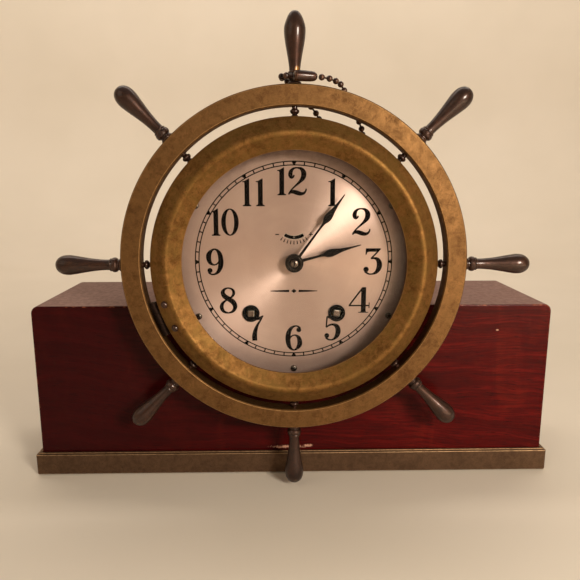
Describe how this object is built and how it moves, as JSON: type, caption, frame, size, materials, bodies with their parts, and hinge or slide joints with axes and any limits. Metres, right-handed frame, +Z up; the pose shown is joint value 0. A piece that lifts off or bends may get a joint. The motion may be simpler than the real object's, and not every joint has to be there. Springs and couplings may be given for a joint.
{
  "type": "ship's wheel mantel clock",
  "caption": "Mantel clock in a brass drum ringed by a ship's-wheel with turned handles, standing in a cradle cut into a mahogany block; hinged glazed bezel, winding key on a ball chain.",
  "frame": {"origin": "middle of the footprint (of the object without its key and chain), on the surface that the felt rests on", "axes": "+X along the block, to the right of someone facing the dial; +Y backwards, the dial facing -Y; +Z up"},
  "size_m": [0.305, 0.107, 0.2547],
  "materials": {
    "mahogany": "satin varnish over deep red-brown mahogany, fine grain, dusty top",
    "base_metal": "matte bronze-brown lacquered strip with a worn bright top edge",
    "felt": "short-napped dark green felt",
    "aged_brass": "aged satin brass, mottled and specked, bright along the edges",
    "dark_bronze": "dark brown bronze patina, semi-gloss, brassy where it is rubbed",
    "silvered_dial": "silvered and circular-brushed, warm, with black numerals",
    "black_steel": "blackened steel, low sheen",
    "steel": "plain turned steel",
    "movement_brass": "clean brushed clock brass",
    "black_bush": "black moulded bush, low gloss",
    "clear_glass": "clear flat glass"
  },
  "bodies": {
    "case": {"base_block": "mahogany", "case_bolt": "steel", "base_moulding": "base_metal", "felt_sheet": "felt", "case_drum": "aged_brass", "wheel_ring": "aged_brass", "winding_key": "aged_brass", "wheel_handle_1": "dark_bronze", "wheel_spindle_1": "dark_bronze", "wheel_handle_2": "dark_bronze", "wheel_spindle_2": "dark_bronze", "wheel_handle_3": "dark_bronze", "wheel_spindle_3": "dark_bronze", "wheel_handle_4": "dark_bronze", "wheel_spindle_4": "dark_bronze", "wheel_handle_5": "dark_bronze", "wheel_spindle_5": "dark_bronze", "wheel_handle_6": "dark_bronze", "wheel_spindle_6": "dark_bronze", "wheel_handle_7": "dark_bronze", "wheel_spindle_7": "dark_bronze", "wheel_handle_8": "dark_bronze", "wheel_spindle_8": "dark_bronze", "case_hinge_leaf": "dark_bronze", "hinge_pin": "dark_bronze", "ball_chain": "dark_bronze", "chain_coupling": "dark_bronze", "dial_screw_1": "steel", "dial_screw_2": "steel", "dial_screw_3": "steel", "dial_screw_4": "steel", "dial_screw_5": "steel", "dial_screw_6": "steel", "dial_plate": "silvered_dial", "winding_grommet_left": "black_bush", "winding_grommet_right": "black_bush", "movement_front_plate": "movement_brass", "movement_back_plate": "movement_brass", "bell": "movement_brass"},
    "bezel_door": {"bezel": "aged_brass", "bezel_glass": "clear_glass", "glass_retainer": "aged_brass", "hinge_rivet_1": "dark_bronze", "hinge_rivet_2": "dark_bronze", "bezel_hinge_leaf": "dark_bronze"},
    "minute_arbor": {"minute_hand": "black_steel", "hand_nut": "steel", "centre_arbor": "steel"},
    "minute_wheel_body": {"minute_wheel": "movement_brass"},
    "hour_pipe": {"hour_hand": "black_steel", "hour_wheel": "movement_brass"},
    "regulator": {"regulator_lever": "steel"},
    "balance": {"balance_wheel": "movement_brass"},
    "time_barrel_body": {"time_barrel": "movement_brass", "time_mainspring": "steel"},
    "strike_barrel_body": {"strike_barrel": "movement_brass", "strike_mainspring": "steel"},
    "time_winding": {"time_winding_arbor": "steel"},
    "strike_winding": {"strike_winding_arbor": "steel"},
    "hammer": {"strike_hammer": "steel"}
  },
  "joints": [
    {"name": "bezel_hinge", "type": "hinge", "parent": "case", "child": "bezel_door", "pos_m": [-0.07242, -0.0458, 0.09983], "axis": [0.3714, 0, -0.9285], "range_deg": [0, 95]},
    {"name": "minute_hand_turn", "type": "hinge", "parent": "case", "child": "minute_arbor", "pos_m": [0, -0.0405, 0.1288], "axis": [0, 1, 0], "continuous": true},
    {"name": "minute_wheel_turn", "type": "hinge", "parent": "case", "child": "minute_wheel_body", "pos_m": [-0.012, -0.0295, 0.1288], "axis": [0, 1, 0], "continuous": true},
    {"name": "hour_hand_turn", "type": "hinge", "parent": "case", "child": "hour_pipe", "pos_m": [0, -0.0375, 0.1288], "axis": [0, 1, 0], "continuous": true},
    {"name": "regulator_swing", "type": "hinge", "parent": "case", "child": "regulator", "pos_m": [0, -0.0305, 0.1515], "axis": [0, 1, 0], "range_deg": [-25, 25]},
    {"name": "balance_swing", "type": "hinge", "parent": "case", "child": "balance", "pos_m": [0, -0.0185, 0.1515], "axis": [0, 1, 0], "range_deg": [-220, 220]},
    {"name": "time_barrel_turn", "type": "hinge", "parent": "case", "child": "time_barrel_body", "pos_m": [0.0239, -0.0095, 0.0998], "axis": [0, 1, 0], "continuous": true},
    {"name": "strike_barrel_turn", "type": "hinge", "parent": "case", "child": "strike_barrel_body", "pos_m": [-0.0239, -0.0095, 0.0998], "axis": [0, 1, 0], "continuous": true},
    {"name": "time_winding_turn", "type": "hinge", "parent": "case", "child": "time_winding", "pos_m": [0.0239, -0.0255, 0.0998], "axis": [0, 1, 0], "continuous": true},
    {"name": "strike_winding_turn", "type": "hinge", "parent": "case", "child": "strike_winding", "pos_m": [-0.0239, -0.0255, 0.0998], "axis": [0, 1, 0], "continuous": true},
    {"name": "hammer_lift", "type": "hinge", "parent": "case", "child": "hammer", "pos_m": [0.0408, -0.0055, 0.1594], "axis": [0, -1, 0], "range_deg": [0, 12]}
  ],
  "couplings": [
    {"joint": "minute_wheel_turn", "follows": "minute_hand_turn", "ratio": -0.33333},
    {"joint": "hour_hand_turn", "follows": "minute_hand_turn", "ratio": 0.083333}
  ]
}
